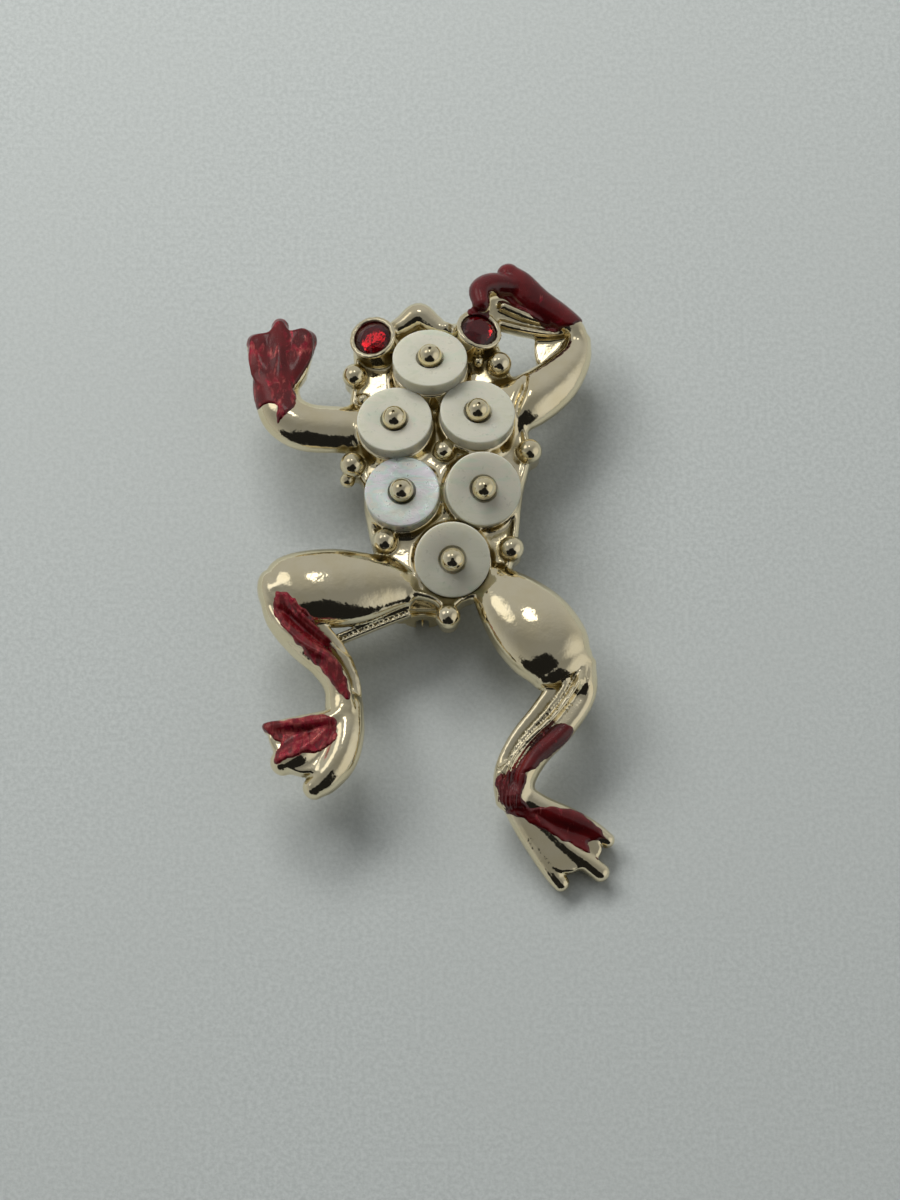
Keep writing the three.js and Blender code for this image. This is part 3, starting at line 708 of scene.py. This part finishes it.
def ragged(x, y):
    """A brushed edge's small wander, in millimetres."""
    return (
        0.13 * np.sin(1.9 * x + 1.3 * np.sin(1.1 * y)) * np.sin(2.3 * y + 0.7)
        + 0.06 * np.sin(4.1 * x - 2.7 * y + 1.9) + 0.025 * np.sin(9.7 * y + 6.1 * x)
    )


def enamel_skin(name, outline):
    """Enamel floated over the casting: thickest inside its outline, thinning to nothing at a rounded edge."""
    smooth = smooth_path(outline, 4, closed=True)

    def field(points):
        x, y, z = points.T
        values = np.full(len(points), 1.0)
        flat = outline_distance(x, y, smooth) + ragged(x, y)
        near = np.flatnonzero(flat < 0.6)
        if len(near) == 0:
            return values
        part = points[near]
        metal = casting_field(part)
        above = casting_field(part + np.array([0, 0, 0.25]))
        upward = smooth_step((above - metal) / 0.25 / 0.3 - 0.1)
        cover = smooth_step(-flat[near] / 0.45) * upward
        thickness = cover * (ENAMEL_PROUD + ENAMEL_SUNK) - ENAMEL_SUNK
        values[near] = np.maximum(metal - thickness, -(metal + ENAMEL_SUNK))
        return values

    low = np.append(smooth.min(axis=0) - 0.6, 1.0)
    high = np.append(smooth.max(axis=0) + 0.6, 10.4)
    points, quads = mesh_of_field(field, low, high, FINE_VOXEL, pull=False)
    return object_from(name, points, quads)


# ---------------------------------------------------------------- pin back
PIN_X, RIVET_Y, PIN_Z = RIVET_DESIGN
TIP_Y = -6.7
CATCH_Y = -4.6


def box_field(points, centre, half, round_off):
    outside = np.abs(points - np.asarray(centre)) - np.asarray(half) + round_off
    return np.linalg.norm(np.maximum(outside, 0), axis=1) + np.minimum(outside.max(axis=1), 0) - round_off


def rod_field(points, centre, axis, radius, half_length, round_off):
    offset = points - np.asarray(centre)
    along = np.abs(offset[:, axis]) - half_length + round_off
    side = np.linalg.norm(np.delete(offset, axis, axis=1), axis=1) - radius + round_off
    outside = np.stack([along, side], axis=1)
    return np.linalg.norm(np.maximum(outside, 0), axis=1) + np.minimum(outside.max(axis=1), 0) - round_off


def joint_field(points):
    """A folded channel soldered to the back, with the rivet's hole through both cheeks."""
    top, low = BACK_Z - 0.02, 0.9
    middle = (top + low) / 2
    block = box_field(points, (PIN_X, RIVET_Y, middle), (1.8, 1.6, (top - low) / 2), 0.18)
    inside = box_field(points, (PIN_X, RIVET_Y, middle - 0.5), (1.3, 2.4, (top - low) / 2), 0.1)
    hole = rod_field(points, (PIN_X, RIVET_Y, PIN_Z), 0, 0.42, 3, 0.05)
    corner = rod_field(points, (PIN_X, RIVET_Y, PIN_Z), 0, 1.6, 3, 0.05)
    rounded = np.where(points[:, 2] < PIN_Z, soft_max(block, corner, 0.1), block)
    return soft_max(soft_max(rounded, -inside, 0.12), -hole, 0.06)


def pin_field(points):
    """A wire with a coiled eye at the rivet and a ground point at the catch."""
    taper = np.clip((points[:, 1] - TIP_Y) / 4.2, 0, 1) ** 0.8
    side = np.hypot(points[:, 0] - PIN_X, points[:, 2] - PIN_Z) - 0.42 * taper
    shaft = soft_max(side, np.maximum(TIP_Y - points[:, 1], points[:, 1] - RIVET_Y + 0.6), 0.05)
    ring = rod_field(points, (PIN_X, RIVET_Y, PIN_Z), 0, 0.95, 1.1, 0.16)
    turns = 0.05 * np.cos((points[:, 0] - PIN_X) * 2 * math.pi / 0.73)
    hole = rod_field(points, (PIN_X, RIVET_Y, PIN_Z), 0, 0.46, 3, 0.05)
    return soft_max(soft_min(shaft, ring - turns, 0.25), -hole, 0.05)


def catch_field(points):
    """A C-shaped ring on a soldered foot, its mouth facing away from the back."""
    place = (PIN_X, CATCH_Y, PIN_Z)
    ring = rod_field(points, place, 1, 2.1, 0.9, 0.12)
    top = BACK_Z - 0.02
    foot = box_field(points, (PIN_X, CATCH_Y, (top + PIN_Z) / 2), (1.5, 0.9, (top - PIN_Z) / 2), 0.12)
    bore = rod_field(points, place, 1, 1.5, 3, 0.05)
    mouth = box_field(points, (PIN_X, CATCH_Y, PIN_Z - 2), (0.65, 3, 2), 0.05)
    return soft_max(soft_max(soft_min(ring, foot, 0.3), -bore, 0.08), -mouth, 0.1)


def rotor_field(points):
    """The catch's slotted barrel with a flange at each end and a thumb tab."""
    place = (PIN_X, CATCH_Y, PIN_Z)
    barrel = rod_field(points, place, 1, 1.42, 1.31, 0.08)
    body = barrel
    for side in (-1, 1):
        flange = rod_field(points, (PIN_X, CATCH_Y + side * 1.135, PIN_Z), 1, 1.9, 0.175, 0.08)
        body = soft_min(body, flange, 0.06)
    tab = box_field(points, (PIN_X - 1.1, CATCH_Y - 1.135, PIN_Z), (1.3, 0.175, 0.55), 0.1)
    tip = rod_field(points, (PIN_X - 2.25, CATCH_Y - 1.135, PIN_Z), 1, 0.6, 0.175, 0.08)
    body = soft_min(body, soft_min(tab, tip, 0.05), 0.06)
    bore = rod_field(points, place, 1, 0.62, 3, 0.05)
    mouth = box_field(points, (PIN_X, CATCH_Y, PIN_Z - 2), (0.65, 3, 2), 0.05)
    return soft_max(soft_max(body, -bore, 0.08), -mouth, 0.08)


def rivet_profile():
    """A rivet with two rounded heads, about its own axis."""
    face, end, head, shank = 1.84, 2.09, 0.62, 0.38
    bottom = [(0, -end)] + arc((0.4, -end + 0.2), 0.22, -90, 0, 5) + [(head, -face), (shank, -face)]
    top = [(shank, face), (head, face)] + arc((0.4, end - 0.2), 0.22, 0, 90, 5) + [(0, end)]
    return bottom + top


# ---------------------------------------------------------------- materials
class Paint:
    """A material under construction: a Principled shader and shorthand for the nodes that feed it."""

    def __init__(self, name, **sockets):
        self.material = bpy.data.materials.new(name)
        self.material.use_nodes = True
        self.nodes = self.material.node_tree.nodes
        self.links = self.material.node_tree.links
        self.shader = self.nodes["Principled BSDF"]
        self.place = self.nodes.new("ShaderNodeTexCoord").outputs["Object"]
        for socket, value in sockets.items():
            self.shader.inputs[socket.replace("_", " ")].default_value = value

    def feed(self, socket, source):
        self.links.new(source, self.shader.inputs[socket])

    def attribute(self, name):
        node = self.nodes.new("ShaderNodeAttribute")
        node.attribute_name = name
        return node.outputs["Fac"]

    def noise(self, per_mm, detail=3.0, roughness=0.55, distortion=0.0, stretch=(1, 1, 1)):
        mapping = self.nodes.new("ShaderNodeMapping")
        mapping.inputs["Scale"].default_value = [per_mm / MM * s for s in stretch]
        self.links.new(self.place, mapping.inputs["Vector"])
        node = self.nodes.new("ShaderNodeTexNoise")
        node.inputs["Scale"].default_value = 1.0
        node.inputs["Detail"].default_value = detail
        node.inputs["Roughness"].default_value = roughness
        node.inputs["Distortion"].default_value = distortion
        self.links.new(mapping.outputs["Vector"], node.inputs["Vector"])
        return node.outputs["Fac"]

    def span(self, source, low, high, to_low=0.0, to_high=1.0):
        node = self.nodes.new("ShaderNodeMapRange")
        node.interpolation_type = "SMOOTHSTEP"
        for socket, value in (("From Min", low), ("From Max", high), ("To Min", to_low), ("To Max", to_high)):
            node.inputs[socket].default_value = value
        self.links.new(source, node.inputs["Value"])
        return node.outputs["Result"]

    def maths(self, operation, a, b):
        node = self.nodes.new("ShaderNodeMath")
        node.operation = operation
        for socket, value in zip(node.inputs, (a, b)):
            if isinstance(value, (int, float)):
                socket.default_value = value
            else:
                self.links.new(value, socket)
        return node.outputs["Value"]

    def ramp(self, source, stops):
        node = self.nodes.new("ShaderNodeValToRGB")
        ramp = node.color_ramp
        while len(ramp.elements) < len(stops):
            ramp.elements.new(0.5)
        for element, (position, color) in zip(ramp.elements, stops):
            element.position = position
            element.color = (*color, 1)
        self.links.new(source, node.inputs["Fac"])
        return node.outputs["Color"]

    def mix(self, factor, a, b):
        node = self.nodes.new("ShaderNodeMix")
        node.data_type = "RGBA"
        self.links.new(factor, node.inputs[0])
        for socket, value in ((node.inputs[6], a), (node.inputs[7], b)):
            if isinstance(value, tuple):
                socket.default_value = (*value, 1)
            else:
                self.links.new(value, socket)
        return node.outputs[2]

    def bump(self, source, height_mm):
        node = self.nodes.new("ShaderNodeBump")
        node.inputs["Strength"].default_value = 1.0
        node.inputs["Distance"].default_value = height_mm * MM
        self.links.new(source, node.inputs["Height"])
        self.feed("Normal", node.outputs["Normal"])


GOLD = (0.90, 0.80, 0.57)
PATINA_AND_PAINTED_SHADE = (0.40, 0.32, 0.15)


def gold_plate():
    paint = Paint("gold_plate", Metallic=1.0)
    # Hollows turn a dark olive gold: partly patina, partly painted shade for the light that grooves and pits don't
    # get. The roughness rises there too.
    hollow = paint.span(paint.attribute("cavity"), 0.35, 0.9)
    mottle = paint.span(paint.noise(0.35, 4), 0.35, 0.7)
    warm = paint.mix(mottle, GOLD, (0.86, 0.75, 0.50))
    paint.feed("Base Color", paint.mix(hollow, warm, PATINA_AND_PAINTED_SHADE))
    scuffs = paint.span(paint.noise(2.2, 6, 0.7, 0.4), 0.35, 0.75, 0.06, 0.14)
    paint.feed("Roughness", paint.maths("MAXIMUM", scuffs, paint.maths("MULTIPLY", hollow, 0.34)))
    paint.bump(paint.noise(0.55, 3, 0.6), 0.05)
    return paint.material


def polished_gold():
    paint = Paint("polished_gold", Metallic=1.0)
    mottle = paint.span(paint.noise(0.8, 4), 0.35, 0.7)
    paint.feed("Base Color", paint.mix(mottle, GOLD, (0.86, 0.74, 0.45)))
    paint.feed("Roughness", paint.span(paint.noise(3.0, 5, 0.7), 0.35, 0.75, 0.07, 0.15))
    return paint.material


def pin_metal():
    paint = Paint("pin_metal", Metallic=1.0)
    mottle = paint.span(paint.noise(0.7, 5), 0.35, 0.7)
    paint.feed("Base Color", paint.mix(mottle, (0.86, 0.74, 0.46), (0.74, 0.62, 0.36)))
    paint.feed("Roughness", paint.span(paint.noise(2.5, 6, 0.7, stretch=(3, 0.4, 3)), 0.3, 0.75, 0.12, 0.3))
    return paint.material


def mother_of_pearl(name, silvery_and_lit):
    paint = Paint(name, Subsurface_Weight=0.6, Subsurface_Scale=0.0016, IOR=1.53, Coat_Weight=0.5,
                  Coat_Roughness=0.16)
    paint.shader.inputs["Subsurface Radius"].default_value = (1.0, 0.9, 0.7)
    bands = paint.noise(0.22, 5, 0.6, 1.6, (1, 2.2, 1))
    cloud = paint.noise(0.12, 3, 0.5, 0.8)
    cream = paint.ramp(bands, [(0.3, (0.50, 0.49, 0.38)), (0.5, (0.55, 0.545, 0.45)), (0.7, (0.48, 0.475, 0.36))])
    # Disc 4's nacre: a more silvery, metallic shell, and partly painted light, its colours made lighter for the
    # light this disc catches.
    if silvery_and_lit:
        sheen = paint.ramp(bands, [
            (0.28, (0.66, 0.76, 0.76)), (0.42, (0.80, 0.74, 0.80)), (0.52, (0.66, 0.80, 0.75)),
            (0.62, (0.80, 0.77, 0.70)), (0.75, (0.70, 0.72, 0.84)),
        ])
    else:
        sheen = paint.ramp(bands, [
            (0.3, (0.54, 0.55, 0.46)), (0.5, (0.58, 0.545, 0.46)), (0.65, (0.50, 0.55, 0.45)),
        ])
    share = paint.span(cloud, 0.35, 0.65, 0.45 if silvery_and_lit else 0.0, 1.0 if silvery_and_lit else 0.8)
    paint.feed("Base Color", paint.mix(share, cream, sheen))
    paint.feed("Metallic", paint.span(cloud, 0.4, 0.7, 0.55 if silvery_and_lit else 0.04, 0.8 if silvery_and_lit else 0.14))
    paint.feed("Roughness", paint.span(paint.noise(1.6, 6, 0.7), 0.3, 0.75, 0.26, 0.4))
    paint.bump(paint.noise(0.9, 5, 0.6, 0.6, (1, 2, 1)), 0.05 if silvery_and_lit else 0.012)
    return paint.material


def red_glass():
    paint = Paint("red_glass", Roughness=0.02, IOR=1.56, Transmission_Weight=0.85)
    depth = paint.span(paint.noise(0.3, 2), 0.3, 0.7)
    paint.feed("Base Color", paint.mix(depth, (0.17, 0.004, 0.008), (0.10, 0.002, 0.005)))
    return paint.material


def foil():
    paint = Paint("foil", Metallic=1.0, Roughness=0.1)
    worn = paint.span(paint.noise(1.5, 4), 0.35, 0.7)
    paint.feed("Base Color", paint.mix(worn, (0.24, 0.04, 0.045), (0.08, 0.01, 0.015)))
    return paint.material


def red_enamel(name, sparkle):
    """Translucent enamel. Sparkle is the share of it thin enough for the metal to glow through."""
    paint = Paint(name, IOR=1.45, Coat_Weight=0.35, Coat_Roughness=0.04)
    streaks = paint.noise(0.75, 5, 0.62, 1.1, (1.6, 0.6, 1))
    deep = paint.mix(paint.span(paint.noise(0.4, 3), 0.3, 0.7), (0.11, 0.004, 0.005), (0.06, 0.003, 0.004))
    glow = paint.mix(paint.span(paint.noise(1.4, 4), 0.4, 0.7), (0.36, 0.012, 0.035), (0.6, 0.14, 0.12))
    thin = paint.span(streaks, 0.62 - 0.2 * sparkle, 0.75 - 0.1 * sparkle)
    paint.feed("Base Color", paint.mix(thin, deep, glow))
    paint.feed("Metallic", paint.maths("MULTIPLY", thin, 0.85))
    paint.feed("Roughness", paint.span(paint.noise(3.0, 5, 0.7), 0.3, 0.75, 0.12, 0.3))
    paint.bump(paint.noise(0.9, 4, 0.6), 0.06)
    return paint.material


def table_top():
    paint = Paint("table_top", Roughness=0.62, IOR=1.45)
    speckle = paint.noise(2.2, 4, 0.65)
    patches = paint.noise(0.02, 3)
    fine = paint.mix(paint.span(speckle, 0.3, 0.7), (0.44, 0.47, 0.46), (0.54, 0.57, 0.56))
    paint.feed("Base Color", paint.mix(paint.span(patches, 0.3, 0.7, 0, 0.4), fine, (0.49, 0.515, 0.50)))
    paint.bump(speckle, 0.03)
    return paint.material


# ---------------------------------------------------------------- putting it together
casting_points, casting_quads = mesh_of_field(casting_field, (-20.5, -36, -0.2), (19.8, 33, 10.8), VOXEL)
casting = object_from("frog_body", casting_points, casting_quads)
add_cavity(casting, casting_field)
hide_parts("frog_casting")
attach(casting, "frog")
gold = gold_plate()
polished = polished_gold()
pin_finish = pin_metal()
casting.data.materials.append(gold)

# Disc 4 takes the silvery nacre. Its lighter colours are partly painted light for the light that disc catches.
pearl = {False: mother_of_pearl("pearl_cream", False), True: mother_of_pearl("pearl_silver_and_lit", True)}
for number, (centre, axis) in enumerate(DISC_PLACES, 1):
    disc = lathe(f"pearl_{number}", disc_profile(0.14), 96, centre, axis, bored=True)
    show(disc, f"pearl_disc_{number}", "frog", [pearl[number == 4]])
    stud = lathe(f"stud_{number}", stud_profile(), 40, centre, axis)
    show(stud, f"disc_stud_{number}", "frog", [polished])

glass, backing = red_glass(), foil()
for side, (centre, axis) in STONE_PLACES.items():
    stone = chaton(f"eye_{side}", centre - axis * STONE_TOP, axis)
    show(stone, f"eye_stone_{side}", "frog", [glass, backing])

SPARKLE = {"left_hand": 0.6, "left_foot": 1.2, "left_shin": 0.8}
for part, outline in ENAMEL.items():
    skin = enamel_skin(f"enamel_on_{part}", outline)
    show(skin, f"enamel_{part}", "frog", [red_enamel(f"enamel_{part}", SPARKLE.get(part, 0.15))])

BACK_PIECES = [
    ("pin_joint_folded", "pin_joint", "frog", joint_field, (-3.1, 19.5, 0.6), (1.0, 23.3, 4.8)),
    ("pin_wire", "pin_stem", "pin", pin_field, (-2.4, -7.0, 0.9), (0.3, 22.6, 3.3)),
    ("catch_ring", "catch_base", "frog", catch_field, (-3.4, -5.8, -0.2), (1.3, -3.4, 4.8)),
    ("catch_barrel", "catch_rotor", "catch", rotor_field, (-4.2, -6.2, 0.0), (1.1, -3.0, 4.2)),
]
for name, node, body, field, low, high in BACK_PIECES:
    points, quads = mesh_of_field(field, low, high, FINE_VOXEL)
    show(object_from(name, points, quads), node, body, [pin_finish])
rivet = lathe("rivet", rivet_profile(), 32, RIVET_DESIGN, (1, 0, 0))
show(rivet, "joint_rivet", "frog", [pin_finish])


# ---------------------------------------------------------------- table, light
def make_floor():
    bpy.ops.mesh.primitive_plane_add(size=1.2, location=(0, 0, 0))
    floor = bpy.context.object
    floor.name = "table"
    floor.data.materials.append(table_top())


LAMP_COLOR = (1.0, 0.995, 0.98)
DARK = (0.012, 0.012, 0.012)
# Patches of the room: towards, cosine where it starts, cosine where it is full, raggedness of its edge, colour.
ROOM = [
    ((-0.2, 0.85, 0.45), 0.4, 0.95, 0.0, (0.42, 0.43, 0.435)),
    ((0.85, -0.2, 0.4), 0.75, 0.95, 0.0, (0.62, 0.62, 0.60)),
    ((-0.42, -0.83, 0.37), 0.905, 0.92, 0.12, DARK),
    ((0.26, -0.90, 0.37), 0.885, 0.90, 0.12, DARK),
    ((0.03, -0.71, 0.71), 0.895, 0.91, 0.12, DARK),
    ((0.06, -0.50, 0.86), 0.968, 0.975, 0.03, DARK),
    ((-0.46, 0.30, 0.60), 0.965, 0.992, 0.0, (1.1, 1.09, 1.05)),
    ((-0.05, 0.42, 0.90), 0.993, 0.997, 0.0, (2.2, 2.18, 2.1)),
]


def make_light(name, place, size, power):
    """A soft light that the metal doesn't mirror: its mirrored shape is the room's bright patch."""
    data = bpy.data.lights.new(name, "AREA")
    data.shape = "RECTANGLE"
    data.size, data.size_y = size
    data.energy = power
    data.color = LAMP_COLOR
    light = bpy.data.objects.new(name, data)
    light.location = place
    light.visible_glossy = False
    light.rotation_mode = "QUATERNION"
    light.rotation_quaternion = (-Vector(place)).to_track_quat("-Z", "Y")
    bpy.context.scene.collection.objects.link(light)


def make_world():
    """A grey room, paler towards the horizon, with bright patches and a dark area on the tail side."""
    world = bpy.data.worlds.new("room")
    bpy.context.scene.world = world
    world.use_nodes = True
    nodes, links = world.node_tree.nodes, world.node_tree.links
    direction = nodes.new("ShaderNodeTexCoord").outputs["Generated"]

    ripple = nodes.new("ShaderNodeTexNoise")
    ripple.inputs["Scale"].default_value = 7.0
    ripple.inputs["Detail"].default_value = 4.0
    links.new(direction, ripple.inputs["Vector"])

    def towards(vector, low, high, ragged=0.0):
        """1 along a direction, falling to 0; low and high are cosines. Ragged roughens the edge."""
        dot = nodes.new("ShaderNodeVectorMath")
        dot.operation = "DOT_PRODUCT"
        dot.inputs[1].default_value = Vector(vector).normalized()
        links.new(direction, dot.inputs[0])
        rough = nodes.new("ShaderNodeMath")
        rough.operation = "MULTIPLY_ADD"
        rough.inputs[1].default_value = ragged
        links.new(ripple.outputs["Fac"], rough.inputs[0])
        links.new(dot.outputs["Value"], rough.inputs[2])
        span = nodes.new("ShaderNodeMapRange")
        span.interpolation_type = "SMOOTHSTEP"
        span.inputs["From Min"].default_value = low + ragged / 2
        span.inputs["From Max"].default_value = high + ragged / 2
        links.new(rough.outputs["Value"], span.inputs["Value"])
        return span.outputs["Result"]

    def layer(factor, below, above):
        node = nodes.new("ShaderNodeMix")
        node.data_type = "RGBA"
        links.new(factor, node.inputs[0])
        for socket, value in ((node.inputs[6], below), (node.inputs[7], above)):
            if isinstance(value, tuple):
                socket.default_value = (*value, 1)
            else:
                links.new(value, socket)
        return node.outputs[2]

    color = layer(towards((0, 0, 1), 0.1, 0.95), (0.42, 0.43, 0.425), (0.22, 0.225, 0.225))
    for vector, low, high, ragged_edge, patch in ROOM:
        color = layer(towards(vector, low, high, ragged_edge), color, patch)
    links.new(color, nodes["Background"].inputs["Color"])
    nodes["Background"].inputs["Strength"].default_value = 1.0


make_floor()
make_world()
make_light("window", (-0.38, 0.34, 0.36), (0.28, 0.24), 1.9)
make_light("ceiling_lamp", (-0.08, 0.36, 0.28), (0.2, 0.12), 1.0)

scene = bpy.context.scene
scene.view_settings.view_transform = "Standard"
scene.cycles.use_denoising = True
scene.cycles.max_bounces = 10
scene.cycles.transmission_bounces = 8
scene.cycles.caustics_reflective = True
